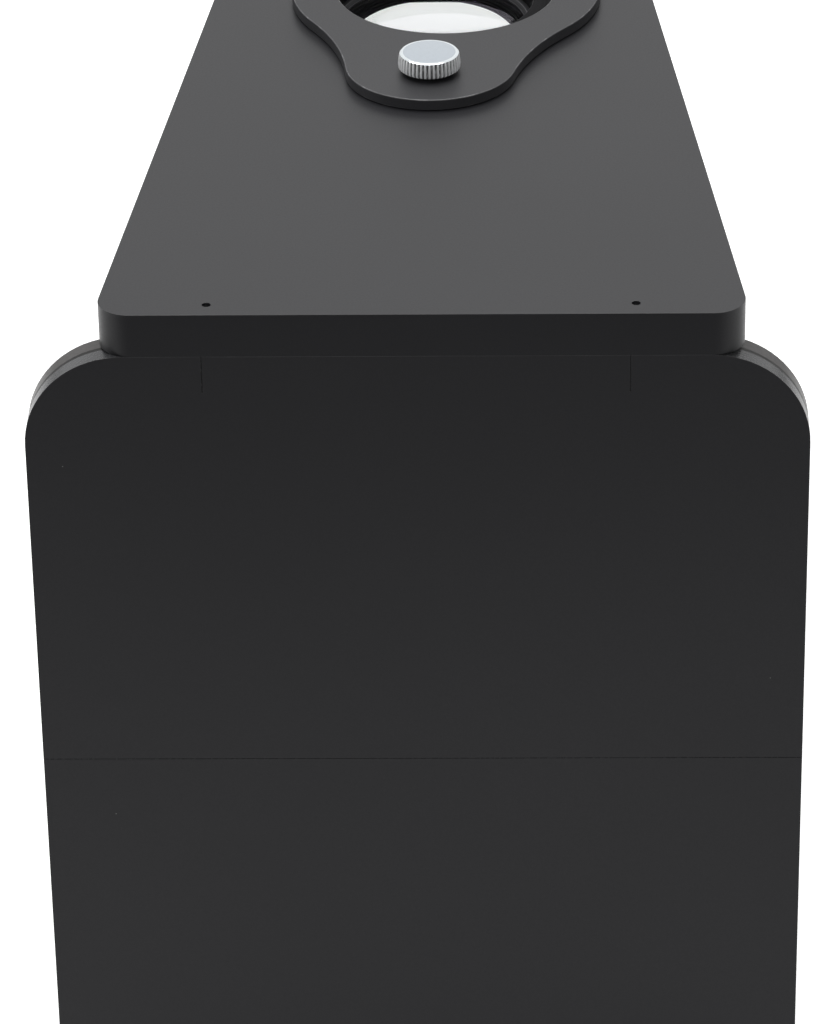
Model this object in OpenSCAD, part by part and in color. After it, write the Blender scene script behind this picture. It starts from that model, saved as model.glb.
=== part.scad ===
// Mirror stereoscope on two end panels with folding legs.
// Millimetres, +Z up. The origin is on the table, under the middle of the instrument.
// The long axis lies along Y. The near end is towards -Y, and the far end mirrors it, but for its
// narrower panel and leg.

/* [Board] */
// Distance between the two lens centres, the viewer's eye spacing
eye_spacing = 65; // [60:0.5:72]
// Distance from each end of the board to the lens centre at that end
lens_to_end = 133; // [126:0.5:160]
// Width of the board at its two ends
board_end_w = 114; // [106:0.5:130]
// Width of the board at its waist, between the lenses
board_mid_w = 78.2; // [70:0.2:100]
// Thickness of the board
board_t = 8.2; // [7.4:0.1:12]
// Radius of the board's four corners, seen from above
board_corner_r = 5.8; // [2:0.1:12]
// How far the board sits to the right of the end panels' middle
board_offset = 1; // [-2:0.1:2]
// Height of the board's top face above the table
stand_h = 200; // [175:1:260]

/* [End panels and legs] */
// Width of the near end panel and leg
panel_w = 137.7; // [132:0.1:160]
// Width of the far end panel and leg, which the board hides in the photographed view
far_panel_w = 96; // [94:0.5:120]
// Thickness of each of the two sheets laminated in a panel
sheet_t = 3.9; // [3:0.1:6]
// Radius of the near end panel's upper corners
panel_corner_r = 17.5; // [6:0.5:30]
// Radius of the far end panel's upper corners
far_corner_r = 4; // [1:0.5:8]
// Radius of the legs' lower corners
leg_corner_r = 12; // [2:0.5:20]
// Depth of the seam between end panel and leg, from the board's top face
seam_drop = 90.9; // [75:0.1:105]
// Open width of the seam
seam_gap = 0.1; // [0.1:0.05:0.6]

/* [Dowel pins] */
// Diameter of the pins that join the board and the end panel
dowel_d = 1.5; // [1:0.1:2.5]
// Length of a dowel pin
dowel_l = 14.4; // [10:0.2:20]
// Depth of a pin's top below the board's top face
dowel_sink = 0.9; // [0.2:0.1:2]
// Distance between the two pins of one end
dowel_spacing = 74.6; // [50:0.2:86]
// Width of the hairline slit in the panel's face below each pin
slit_w = 0.2; // [0.1:0.05:0.6]
// Length of the hairline slit, down from the panel's top edge
slit_l = 7.2; // [3:0.1:12]
// Depth of the hairline slit
slit_depth = 0.4; // [0.1:0.1:1]

/* [Leg hinges] */
// Distance between the middles of the near leg's two hinges
hinge_spacing = 84; // [60:1:95]
// Distance between the middles of the far leg's two hinges
far_hinge_spacing = 56; // [46:1:60]
// Length of a hinge along its pin
hinge_l = 32; // [24:1:40]
// Length of a hinge's middle knuckle
hinge_mid_l = 13; // [8:0.5:15]
// Reach of a hinge leaf from the pin's axis
leaf_h = 15; // [12:0.5:20]
// Thickness of a hinge leaf
leaf_t = 1.2; // [0.8:0.1:1.6]
// Diameter of a hinge pin
hinge_pin_d = 2; // [1.6:0.1:2.6]
// Thickness of the flat heads at the ends of a hinge pin
pin_head_t = 0.6; // [0.3:0.1:1.2]
// Wall of a hinge knuckle round its pin
knuckle_wall = 1.15; // [0.8:0.05:1.6]
// Distance between the two screws of a leaf
leaf_screw_spacing = 20; // [14:0.5:22]
// Diameter of a hinge screw's countersunk head
leaf_screw_head_d = 4.4; // [3.6:0.1:5]
// Diameter of a hinge screw's shank
leaf_screw_d = 2.2; // [1.6:0.1:2.6]
// Length of a hinge screw
leaf_screw_l = 6; // [4:0.2:6.6]

/* [Feet] */
// Distance from a foot strip's ends to the start of the leg's round corners
foot_end_inset = 5; // [0:0.5:20]
// Distance from a foot strip's sides to the leg's faces
foot_side_inset = 0.4; // [0:0.1:1.5]
// Thickness of a rubber foot strip
foot_t = 1.5; // [0.8:0.1:4]

/* [Lens plates] */
// Radius of the plate's round end, about the lens centre
ring_r = 30; // [26:0.1:32]
// Radius of the plate's tail
tail_r = 16.2; // [12:0.1:20]
// Distance from the pivot to the middle of the tail's round, towards the lens
tail_shift = 3.2; // [0:0.1:6]
// Radius of the hollow that blends the tail into the round end
waist_r = 50; // [35:1:90]
// Distance from the thumb screw to the lens centre
pivot_to_lens = 38.4; // [36:0.1:44]
// Diameter of the plate's opening over the lens
opening_d = 42.8; // [38:0.1:46]
// Thickness of the plate
plate_t = 2.1; // [1.2:0.1:3]
// Running gap between the plate and the board
plate_gap = 0.1; // [0.05:0.05:0.4]
// How far the near plate stands turned about its screw, as photographed
near_plate_turn = -3.9; // [-10:0.1:10]

/* [Thumb screws] */
// Diameter of the knurled head
head_d = 11.8; // [9:0.1:14]
// Height of the knurled head
head_h = 3.2; // [3:0.1:6]
// Number of ridges in the knurl
knurl_count = 44; // [24:1:60]
// Depth of the knurl
knurl_depth = 0.3; // [0.1:0.05:0.4]
// Height of the bevel above and below the knurl
head_bevel = 0.3; // [0.2:0.05:0.8]
// Diameter of the smooth neck on which the plate turns
neck_d = 5; // [4.6:0.1:6]
// Diameter of the thread
thread_d = 4; // [3:0.1:4.4]
// Length of the thread below the neck
thread_l = 6; // [4:0.1:6.3]
// Diameter of the washer under the head
washer_d = 9.2; // [7:0.1:11]
// Thickness of the washer
washer_t = 0.6; // [0.3:0.05:1]
// Outer diameter of the threaded insert in the board
insert_d = 6.4; // [5.6:0.1:8]
// Length of the threaded insert
insert_l = 6.6; // [5:0.1:7]

/* [Lenses and cells] */
// Diameter of a lens
lens_d = 39; // [38:0.1:43]
// Thickness of a lens at its edge
lens_edge_t = 1.6; // [1.4:0.1:3]
// Radius of curvature of both lens faces
lens_face_r = 250; // [180:5:600]
// Wall of the cell round its lens
cell_wall = 1.6; // [1.2:0.1:2.4]
// Width of the cell's flange outside its wall
flange_w = 1.9; // [1.2:0.1:3]
// Thickness of the cell's flange
flange_t = 1.5; // [1:0.1:2]
// Depth of the flange's top below the board's top face
cell_sink = 0.15; // [0.1:0.05:0.5]
// How far the cell's snout stands below the board's underside
snout_l = 2.1; // [1.2:0.1:3]
// Diameter of the aperture at the snout's lower end
aperture_d = 31.4; // [26:0.2:31.4]
// Thickness of the lip round the aperture
lip_t = 0.8; // [0.6:0.1:1.2]
// Height of the ledge that carries the lens, above the board's underside
seat_h = 0.5; // [0.4:0.1:3.4]
// Width of the glare-stopping steps between lip and ledge
glare_w = 1.4; // [0.9:0.1:1.5]
// Number of glare-stopping steps
glare_steps = 3; // [2:1:5]
// Wall of the snout outside the steps
snout_wall = 0.6; // [0.4:0.1:0.7]
// Width of the retaining ring over the lens
retainer_w = 1.5; // [1.2:0.1:2.6]
// Height of the retaining ring
retainer_h = 1; // [0.8:0.1:2.3]
// Bevel on the retaining ring's inner rim
retainer_bevel = 0.6; // [0.3:0.1:0.8]
// Width of the two spanner slots in the retaining ring
spanner_slot_w = 1.4; // [0.8:0.1:2]
// Depth of the spanner slots
spanner_slot_depth = 0.5; // [0.2:0.1:0.7]

/* [Prisms] */
// Length of the two square faces of a right-angle prism, seen from the side
prism_leg = 34; // [30:0.5:36]
// Width of a prism
prism_w = 36; // [30:0.5:40]
// Flat on each long edge of a prism
prism_flat = 0.8; // [0.4:0.1:2]
// Gap between a prism and the snout above it
prism_gap = 0.4; // [0.3:0.1:2]
// Thickness of the prism's side plates and their foot flanges
side_plate_t = 2; // [1.2:0.1:3]
// Border of a side plate beyond the prism
side_plate_border = 2.5; // [1:0.1:4]
// Width of a side plate's foot flange
foot_flange_w = 9; // [8:0.1:12]
// Length of a side plate's foot flange
foot_flange_l = 26; // [20:0.5:30]
// Distance between the two screws of a foot flange
foot_screw_spacing = 16; // [12:0.5:18]

/* [Large mirrors] */
// Length of a large mirror along its slope
mirror_l = 54; // [46:0.5:60]
// Thickness of the mirror glass
mirror_t = 3; // [2:0.1:4]
// Thickness of the backing board behind the mirror
back_t = 3; // [2:0.1:4]
// How much shorter the backing board is than the mirror, at the top
back_trim = 4.6; // [4:0.1:8]
// Distance from the board's end to the middle of the mirror's face
mirror_to_end = 57.5; // [54:0.5:66]
// Gap between the mirror's upper edge and the board
mirror_top_gap = 0.9; // [0.5:0.1:3]
// Thickness of the cheeks that hold the mirror
cheek_t = 5; // [4:0.1:8]
// Depth of the grooves in the cheeks
groove_depth = 2; // [1:0.1:2.6]
// Border of a cheek round the mirror and its backing
cheek_border = 5; // [3:0.1:8]
// Distance from a cheek's outer face to the board's edge, where they are closest
cheek_edge_gap = 1.2; // [0.5:0.1:6]

/* [Angle brackets] */
// Length of a bracket along the cheek
bracket_l = 17; // [15:0.5:20]
// Width of each leg of a bracket
bracket_leg = 10; // [9:0.1:13]
// Thickness of a bracket
bracket_t = 1.5; // [1:0.1:2]
// Distance between the two screws of a bracket's leg
bracket_screw_spacing = 9; // [6:0.1:9.6]
// Diameter of the round screw heads
pan_head_d = 4; // [3:0.1:4.4]
// Height of the round screw heads
pan_head_h = 1.3; // [0.8:0.1:1.8]
// Diameter of the screws' shanks
pan_screw_d = 2; // [1.4:0.1:2.4]
// Length of a screw below its head
pan_screw_l = 5; // [3.5:0.1:5.2]

/* [Fits] */
// Radial running clearance of shafts, pins and turning plates
run_clear = 0.05; // [0.01:0.01:0.1]
// Radial clearance of pieces that are set in place
set_clear = 0.04; // [0.01:0.01:0.1]
// Side clearance between moving hinge knuckles
knuckle_gap = 0.2; // [0.1:0.05:0.4]
// Gap between a hinge knuckle and the panel that it turns against
knuckle_lift = 0.25; // [0.15:0.05:0.5]

/* [Hidden] */

$fn = 96;
// Number of sides of the small holes and shanks
small_fn = 32;
// A cut runs this far past the face that it opens
past = 1;
// Steps in a lens face's curve and in a board corner's
lens_steps = 8;
corner_steps = 16;
// Slope of the large mirrors and of the prisms' long faces
slope = 45;

// The board and what its size sets
board_len = 2 * lens_to_end + eye_spacing;
end_y = -board_len / 2;
lens_y = -eye_spacing / 2;
pivot_y = lens_y - pivot_to_lens;
under_z = stand_h - board_t;
side_angle = atan((board_end_w - board_mid_w) / board_len);
seam_z = stand_h - seam_drop;
panel_t = 2 * sheet_t;

// The leg hinges
hinge_bore_r = hinge_pin_d / 2 + run_clear;
knuckle_r = hinge_bore_r + knuckle_wall;
axis_off = knuckle_r + knuckle_lift;
hinge_y = end_y + panel_t + axis_off;
leaf_screw_rise = (leaf_h + knuckle_r) / 2;
leaf_cone_h = min(leaf_t, (leaf_screw_head_d - leaf_screw_d) / 2);
pin_head_r = (hinge_pin_d + knuckle_wall) / 2;

// The lens cell, the lens and its retaining ring
lens_r = lens_d / 2;
cell_bore_r = lens_r + set_clear;
cell_r = cell_bore_r + cell_wall;
flange_r = cell_r + flange_w;
cell_top_z = stand_h - cell_sink;
cell_low_z = under_z - snout_l;
aperture_r = aperture_d / 2;
seat_in_r = aperture_r + glare_w;
snout_r = seat_in_r + snout_wall;
seat_z = under_z + seat_h;
lens_low_z = seat_z + face_rise(seat_in_r) + set_clear;
lens_edge_z = lens_low_z + lens_edge_t;
retainer_in_r = lens_r - retainer_w;
retainer_z = lens_edge_z + face_rise(retainer_in_r) + set_clear;

// The lens plate and its thumb screw
plate_z = stand_h + plate_gap;
washer_z = plate_z + plate_t + run_clear;
head_z = washer_z + washer_t + run_clear;

// The prism and its side plates
prism_top_z = cell_low_z - prism_gap;
prism_low_z = prism_top_z - prism_leg;
prism_out_y = lens_y - prism_leg / 2;
foot_screw_x = prism_w / 2 + side_plate_t + foot_flange_w / 2;

// The large mirror hangs so that its upper back corner clears the board
mirror_mid_y = end_y + mirror_to_end;
mirror_mid_z = under_z - mirror_top_gap - (mirror_l / 2 + mirror_t) * sin(slope);
mirror_pack_t = mirror_t + back_t;
cheek_low_u = -mirror_l / 2 - cheek_border;
cheek_back_v = mirror_pack_t + cheek_border;
cheek_inner_y = mirror_mid_y + under_z - mirror_mid_z + 2 * cheek_border * sin(slope);
cheek_outer_y = slope_y(cheek_low_u, cheek_back_v);
cheek_out_x = half_w(cheek_inner_y - end_y) - cheek_edge_gap;
cheek_in_x = cheek_out_x - cheek_t;
mirror_w = 2 * (cheek_in_x + groove_depth - set_clear);
bracket_y = cheek_outer_y + cheek_border;

// Distance from a bracket's corner to the middles of its screws
bracket_screw_in = (bracket_leg + bracket_t) / 2;

// Half width of the board at a distance from its end
function half_w(d) = board_end_w / 2 - (board_end_w - board_mid_w) * d / board_len;

// A point of the mirror, u up along its slope and v out of its back, as Y and as Z
function slope_y(u, v) = mirror_mid_y + (u - v) * cos(slope);
function slope_z(u, v) = mirror_mid_z + (u + v) * sin(slope);

// Height of a lens face above the lens's edge, at a radius
function face_rise(r) = sqrt(pow(lens_face_r, 2) - pow(r, 2)) - sqrt(pow(lens_face_r, 2) - pow(lens_r, 2));

// Placing
module at_far_end() {
    mirror([0, 1, 0]) children();
}

module on_left() {
    mirror([1, 0, 0]) children();
}

module on_board() {
    translate([board_offset, 0, 0]) children();
}

module both_sides() {
    children();
    on_left() children();
}

// A drawing in X and Z, made a plate that starts at a Y and grows inwards
module upright(y, t) {
    translate([0, y + t, 0]) rotate([90, 0, 0]) linear_extrude(t) children();
}

// A drawing in Y and Z, made a plate that starts at an X and grows outwards
module sideways(x, t) {
    translate([x, 0, 0]) rotate([90, 0, 90]) linear_extrude(t) children();
}

module at_mirror() {
    translate([0, mirror_mid_y, mirror_mid_z]) rotate([slope, 0, 0]) children();
}

module at_hinges(spacing) {
    for (side = [-1, 1]) translate([side * spacing / 2, hinge_y, seam_z]) children();
}

// Board, wide at its ends, with a waist and four round corners
function corner_arc(x, y, from, to) = [
    for (i = [0 : corner_steps]) let (turn = from + (to - from) * i / corner_steps)
        [x + board_corner_r * cos(turn), y + board_corner_r * sin(turn)]
];

module board_outline() {
    round_x = board_end_w / 2 - board_corner_r * (1 + sin(side_angle)) / cos(side_angle);
    round_y = board_len / 2 - board_corner_r;
    polygon(concat(
        [[board_mid_w / 2, 0]],
        corner_arc(round_x, round_y, -side_angle, 90),
        corner_arc(-round_x, round_y, 90, 180 + side_angle),
        [[-board_mid_w / 2, 0]],
        corner_arc(-round_x, -round_y, 180 - side_angle, 270),
        corner_arc(round_x, -round_y, 270, 360 + side_angle)
    ));
}

// The dowels' places in the board's and the panels' own drawings
module at_dowels() {
    for (side = [-1, 1])
        translate([side * dowel_spacing / 2, end_y + sheet_t, stand_h - dowel_sink - dowel_l]) children();
}

module dowel_holes() {
    at_dowels() cylinder(r = dowel_d / 2 + set_clear, h = dowel_l + dowel_sink + past, $fn = small_fn);
}

module board_cuts() {
    translate([0, lens_y, under_z - past]) cylinder(r = cell_r + set_clear, h = board_t + 2 * past);
    translate([0, lens_y, cell_top_z - flange_t]) cylinder(r = flange_r + set_clear, h = flange_t + past);
    translate([0, pivot_y, stand_h - insert_l]) cylinder(r = insert_d / 2 + set_clear, h = insert_l + past);
    dowel_holes();
    both_sides() {
        at_foot_screws() pan_screw_hole();
        at_bracket_top_screws() pan_screw_hole();
    }
}

module top_board() {
    color([0.2, 0.2, 0.21]) on_board() difference() {
        translate([0, 0, under_z]) linear_extrude(board_t) board_outline();
        board_cuts();
        at_far_end() board_cuts();
    }
}

// End panels: each is two laminated sheets
module panel_face(w, low_z, high_z, top_r, low_r) {
    translate([-w / 2, low_z + low_r]) square([w, high_z - low_z - top_r - low_r]);
    for (corner = [[high_z - top_r, top_r], [low_z + low_r, low_r]]) if (corner[1] > 0) {
        flat = w / 2 - corner[1];
        translate([-flat, corner[0] - corner[1]]) square([2 * flat, 2 * corner[1]]);
        for (side = [-1, 1]) translate([side * flat, corner[0]]) circle(r = corner[1]);
    }
}

module panel_sheet(y, w, top_r, spacing) {
    color([0.17, 0.17, 0.18]) difference() {
        upright(y, sheet_t) panel_face(w, seam_z + seam_gap / 2, under_z, top_r, 0);
        on_board() dowel_holes();
        at_leaf_screws(1, spacing) leaf_screw_hole();
        children();
    }
}

// The hairline slits in an outer sheet's face, below the dowel pins
module panel_slits() {
    for (side = [-1, 1])
        translate([side * dowel_spacing / 2 - slit_w / 2, end_y - past, under_z - slit_l])
            cube([slit_w, slit_depth + past, slit_l + past]);
}

module near_panel_outer_sheet() {
    panel_sheet(end_y, panel_w, panel_corner_r, hinge_spacing) panel_slits();
}

module far_panel_outer_sheet() {
    at_far_end() panel_sheet(end_y, far_panel_w, far_corner_r, far_hinge_spacing) panel_slits();
}

module near_panel_inner_sheet() {
    panel_sheet(end_y + sheet_t, panel_w, panel_corner_r, hinge_spacing);
}

module far_panel_inner_sheet() {
    at_far_end() panel_sheet(end_y + sheet_t, far_panel_w, far_corner_r, far_hinge_spacing);
}

module near_dowel_pins() {
    color([0.6, 0.6, 0.62]) on_board() at_dowels() cylinder(d = dowel_d, h = dowel_l, $fn = small_fn);
}

// Legs, which fold inwards at the seam, and their rubber feet
module leg_sheet(y, w, spacing) {
    color([0.17, 0.17, 0.18]) difference() {
        upright(y, sheet_t) panel_face(w, foot_t, seam_z - seam_gap / 2, 0, leg_corner_r);
        at_leaf_screws(-1, spacing) leaf_screw_hole();
    }
}

module near_leg_outer_sheet() {
    leg_sheet(end_y, panel_w, hinge_spacing);
}

module far_leg_outer_sheet() {
    at_far_end() leg_sheet(end_y, far_panel_w, far_hinge_spacing);
}

module near_leg_inner_sheet() {
    leg_sheet(end_y + sheet_t, panel_w, hinge_spacing);
}

module far_leg_inner_sheet() {
    at_far_end() leg_sheet(end_y + sheet_t, far_panel_w, far_hinge_spacing);
}

module foot_strip(w) {
    foot_half = w / 2 - leg_corner_r - foot_end_inset;
    color([0.1, 0.1, 0.1]) translate([-foot_half, end_y + foot_side_inset, 0])
        cube([2 * foot_half, panel_t - 2 * foot_side_inset, foot_t]);
}

module near_foot_strip() {
    foot_strip(panel_w);
}

module far_foot_strip() {
    at_far_end() foot_strip(far_panel_w);
}

// Hinges. A leaf lies on the panel's inner face, up or down from its pin, with knuckles on the
// stretches along the pin that are given as [start, end], and room for the other leaf's knuckles.
module hinge_leaf(up, knuckles, rooms) {
    low_z = up > 0 ? seam_gap / 2 : -leaf_h;
    room_r = knuckle_r + knuckle_lift;
    difference() {
        union() {
            translate([-hinge_l / 2, -axis_off, low_z]) cube([hinge_l, leaf_t, leaf_h - seam_gap / 2]);
            for (k = knuckles) translate([k[0], 0, 0]) rotate([0, 90, 0])
                cylinder(r = knuckle_r, h = k[1] - k[0]);
        }
        for (k = rooms) translate([k[0], -axis_off - past, -room_r])
            cube([k[1] - k[0], axis_off + room_r + past, 2 * room_r]);
        translate([-hinge_l / 2 - past, 0, 0]) rotate([0, 90, 0])
            cylinder(r = hinge_bore_r, h = hinge_l + 2 * past);
    }
}

// Screw places of a leaf, at its face, with the screw's axis out into the panel
module at_leaf_screws(up, spacing) {
    at_hinges(spacing) for (side = [-1, 1])
        translate([side * leaf_screw_spacing / 2, leaf_t - axis_off, up * leaf_screw_rise])
            rotate([90, 0, 0]) children();
}

module leaf_screw_hole() {
    translate([0, 0, -past])
        cylinder(r = leaf_screw_d / 2 + set_clear, h = leaf_screw_l + past, $fn = small_fn);
}

module leaf_screw_head(clear) {
    head_r = leaf_screw_head_d / 2 + clear;
    cylinder(r1 = head_r, r2 = head_r - leaf_cone_h, h = leaf_cone_h, $fn = small_fn);
}

module leaf_screws(up, spacing) {
    color([0.6, 0.6, 0.6]) at_leaf_screws(up, spacing) {
        leaf_screw_head(0);
        cylinder(d = leaf_screw_d, h = leaf_screw_l - set_clear, $fn = small_fn);
    }
}

module upper_hinge_leaves(spacing) {
    inner = hinge_mid_l / 2 + knuckle_gap;
    outer = hinge_l / 2;
    color([0.55, 0.55, 0.55]) difference() {
        at_hinges(spacing) hinge_leaf(1, [[-outer, -inner], [inner, outer]], [[-inner, inner]]);
        at_leaf_screws(1, spacing) {
            leaf_screw_hole();
            leaf_screw_head(set_clear);
        }
    }
}

module lower_hinge_leaves(spacing) {
    inner = hinge_mid_l / 2;
    outer = hinge_l / 2 + past;
    color([0.55, 0.55, 0.55]) difference() {
        at_hinges(spacing) hinge_leaf(-1, [[-inner, inner]], [[-outer, -inner], [inner, outer]]);
        at_leaf_screws(-1, spacing) {
            leaf_screw_hole();
            leaf_screw_head(set_clear);
        }
    }
}

module hinge_pins(spacing) {
    half = hinge_l / 2 + run_clear;
    color([0.7, 0.7, 0.7]) at_hinges(spacing) rotate([0, 90, 0]) {
        translate([0, 0, -half]) cylinder(d = hinge_pin_d, h = 2 * half);
        for (z = [-half - pin_head_t, half]) translate([0, 0, z]) cylinder(r = pin_head_r, h = pin_head_t);
    }
}

module upper_hinge_screws() {
    leaf_screws(1, hinge_spacing);
    at_far_end() leaf_screws(1, far_hinge_spacing);
}

// Lens plate: a round end and a round tail, blended by a hollow that touches both
module plate_outline() {
    gap = pivot_to_lens - tail_shift;
    ring_d = ring_r + waist_r;
    tail_d = tail_r + waist_r;
    along = (pow(tail_d, 2) - pow(ring_d, 2) + pow(gap, 2)) / (2 * gap);
    hollow_x = sqrt(pow(tail_d, 2) - pow(along, 2));
    tail_touch = [hollow_x * tail_r / tail_d, tail_shift + along * tail_r / tail_d];
    ring_touch = [hollow_x * ring_r / ring_d, pivot_to_lens + (along - gap) * ring_r / ring_d];
    translate([0, pivot_to_lens]) circle(r = ring_r);
    translate([0, tail_shift]) circle(r = tail_r);
    difference() {
        polygon([
            [-ring_touch[0], ring_touch[1]], [-tail_touch[0], tail_touch[1]],
            [tail_touch[0], tail_touch[1]], [ring_touch[0], ring_touch[1]]
        ]);
        for (side = [-1, 1]) translate([side * hollow_x, tail_shift + along]) circle(r = waist_r);
    }
}

module lens_plate(turn) {
    color([0.24, 0.24, 0.25]) on_board() translate([0, pivot_y, plate_z]) rotate([0, 0, turn])
        linear_extrude(plate_t) difference() {
            plate_outline();
            translate([0, pivot_to_lens]) circle(d = opening_d);
            circle(r = neck_d / 2 + run_clear);
        }
}

module near_screw_washer() {
    color([0.15, 0.15, 0.15]) on_board() translate([0, pivot_y, washer_z]) difference() {
        cylinder(d = washer_d, h = washer_t);
        translate([0, 0, -past]) cylinder(r = neck_d / 2 + run_clear, h = washer_t + 2 * past);
    }
}

// Thumb screw: knurled head, neck for the plate to turn on, and thread
module near_thumb_screw() {
    rim_r = head_d / 2;
    root_r = rim_r - knurl_depth;
    shoulder_r = root_r - knurl_depth / 2;
    face_r = shoulder_r - head_bevel;
    // Roots and tips of the knurl in turn, as radius and angle
    ridges = [for (i = [0 : 2 * knurl_count - 1]) [i % 2 == 0 ? root_r : rim_r, i * 180 / knurl_count]];
    color([0.85, 0.86, 0.88]) on_board() translate([0, pivot_y, 0]) {
        translate([0, 0, head_z]) {
            cylinder(r1 = face_r, r2 = shoulder_r, h = head_bevel);
            translate([0, 0, head_bevel]) linear_extrude(head_h - 2 * head_bevel)
                polygon([for (p = ridges) p[0] * [cos(p[1]), sin(p[1])]]);
            translate([0, 0, head_h - head_bevel]) cylinder(r1 = shoulder_r, r2 = face_r, h = head_bevel);
        }
        translate([0, 0, stand_h]) cylinder(d = neck_d, h = head_z - stand_h);
        translate([0, 0, stand_h - thread_l]) cylinder(d = thread_d, h = thread_l);
    }
}

module near_threaded_insert() {
    color([0.78, 0.62, 0.3]) on_board() translate([0, pivot_y, stand_h - insert_l]) difference() {
        cylinder(d = insert_d, h = insert_l - run_clear);
        translate([0, 0, -past]) cylinder(r = thread_d / 2 + run_clear, h = insert_l + 2 * past);
    }
}

// Lens cell, with glare-stopping steps between its lower lip and the ledge that carries the lens
module near_lens_cell() {
    lip_z = cell_low_z + lip_t;
    step_r = glare_w / glare_steps;
    step_z = (seat_z - lip_z) / glare_steps;
    color([0.12, 0.12, 0.12]) on_board() translate([0, lens_y, 0]) rotate_extrude() polygon(concat(
        [[aperture_r, cell_low_z], [snout_r, cell_low_z], [snout_r, under_z]],
        [[cell_r, under_z], [cell_r, cell_top_z - flange_t]],
        [[flange_r, cell_top_z - flange_t], [flange_r, cell_top_z]],
        [[cell_bore_r, cell_top_z], [cell_bore_r, seat_z]],
        [for (i = [glare_steps : -1 : 1], j = [i, i - 1])
            [aperture_r + i * step_r, lip_z + j * step_z]],
        [[aperture_r, lip_z]]
    ));
}

module near_lens() {
    radii = [for (i = [0 : lens_steps]) lens_r * i / lens_steps];
    color([0.8, 0.9, 0.95]) on_board() translate([0, lens_y, 0]) rotate_extrude() polygon(concat(
        [for (r = radii) [r, lens_edge_z + face_rise(r)]],
        [for (i = [lens_steps : -1 : 0]) [radii[i], lens_low_z - face_rise(radii[i])]]
    ));
}

module near_retaining_ring() {
    color([0.1, 0.1, 0.1]) on_board() translate([0, lens_y, retainer_z]) difference() {
        rotate_extrude() polygon([
            [retainer_in_r, 0], [lens_r, 0], [lens_r, retainer_h],
            [retainer_in_r + retainer_bevel, retainer_h], [retainer_in_r, retainer_h - retainer_bevel]
        ]);
        translate([-lens_r - past, -spanner_slot_w / 2, retainer_h - spanner_slot_depth])
            cube([2 * (lens_r + past), spanner_slot_w, spanner_slot_depth + past]);
    }
}

// Right-angle prism: its square faces look up and out, its long face looks in and down
module near_prism() {
    in_y = prism_out_y + prism_leg;
    f = prism_flat;
    color([0.75, 0.88, 0.9]) on_board() sideways(-prism_w / 2, prism_w) polygon([
        [prism_out_y + f, prism_top_z], [in_y - f, prism_top_z], [in_y - f, prism_top_z - f],
        [prism_out_y + f, prism_low_z + f], [prism_out_y, prism_low_z + f], [prism_out_y, prism_top_z - f]
    ]);
}

module at_foot_screws() {
    for (side = [-0.5, 0.5])
        translate([foot_screw_x, lens_y + side * foot_screw_spacing, under_z - side_plate_t]) children();
}

module prism_plate() {
    out_y = prism_out_y - side_plate_border;
    low_z = prism_low_z - side_plate_border;
    slant = side_plate_border / cos(slope);
    color([0.2, 0.2, 0.2]) difference() {
        union() {
            sideways(prism_w / 2, side_plate_t) polygon([
                [out_y, under_z], [out_y, low_z],
                [out_y + slant, low_z], [out_y + slant + under_z - low_z, under_z]
            ]);
            translate([prism_w / 2, lens_y - foot_flange_l / 2, under_z - side_plate_t])
                cube([side_plate_t + foot_flange_w, foot_flange_l, side_plate_t]);
        }
        at_foot_screws() pan_screw_hole();
    }
}

module near_right_prism_plate() {
    on_board() prism_plate();
}

module near_left_prism_plate() {
    on_board() on_left() prism_plate();
}

// A round-headed screw, with its seat at the origin and its shank up
module pan_screw() {
    color([0.6, 0.6, 0.6]) {
        cylinder(d = pan_screw_d, h = pan_screw_l, $fn = small_fn);
        translate([0, 0, -pan_head_h])
            cylinder(d1 = pan_head_d - pan_head_h, d2 = pan_head_d, h = pan_head_h, $fn = small_fn);
    }
}

module pan_screw_hole() {
    translate([0, 0, -past])
        cylinder(r = pan_screw_d / 2 + set_clear, h = pan_screw_l + set_clear + past, $fn = small_fn);
}

module near_prism_plate_screws() {
    on_board() both_sides() at_foot_screws() pan_screw();
}

module prism_plate_screws() {
    near_prism_plate_screws();
    at_far_end() near_prism_plate_screws();
}

// Large mirror and its backing, held in grooves of two cheeks
module near_large_mirror() {
    color([0.75, 0.8, 0.85]) on_board() at_mirror()
        translate([-mirror_w / 2, -mirror_l / 2, 0]) cube([mirror_w, mirror_l, mirror_t]);
}

module near_mirror_backing() {
    color([0.25, 0.2, 0.16]) on_board() at_mirror()
        translate([-mirror_w / 2, -mirror_l / 2, mirror_t]) cube([mirror_w, mirror_l - back_trim, back_t]);
}

module cheek() {
    color([0.16, 0.16, 0.17]) difference() {
        sideways(cheek_in_x, cheek_t) polygon([
            [cheek_inner_y, under_z],
            [slope_y(cheek_low_u, -cheek_border), slope_z(cheek_low_u, -cheek_border)],
            [cheek_outer_y, slope_z(cheek_low_u, cheek_back_v)],
            [cheek_outer_y, under_z]
        ]);
        at_mirror() translate([-mirror_w / 2 - set_clear, -mirror_l / 2 - set_clear, -set_clear])
            cube([mirror_w + 2 * set_clear, 2 * mirror_l, mirror_pack_t + 2 * set_clear]);
        at_bracket_side_screws() pan_screw_hole();
    }
}

module near_right_cheek() {
    on_board() cheek();
}

module near_left_cheek() {
    on_board() on_left() cheek();
}

// Angle brackets, on the cheeks' inner faces behind the mirror
module at_bracket_top_screws() {
    for (side = [-0.5, 0.5])
        translate([cheek_in_x - bracket_screw_in, bracket_screw_y(side), under_z - bracket_t]) children();
}

module at_bracket_side_screws() {
    for (side = [-0.5, 0.5])
        translate([cheek_in_x - bracket_t, bracket_screw_y(side), under_z - bracket_screw_in])
            rotate([0, 90, 0]) children();
}

function bracket_screw_y(side) = bracket_y + bracket_l / 2 + side * bracket_screw_spacing;

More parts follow.
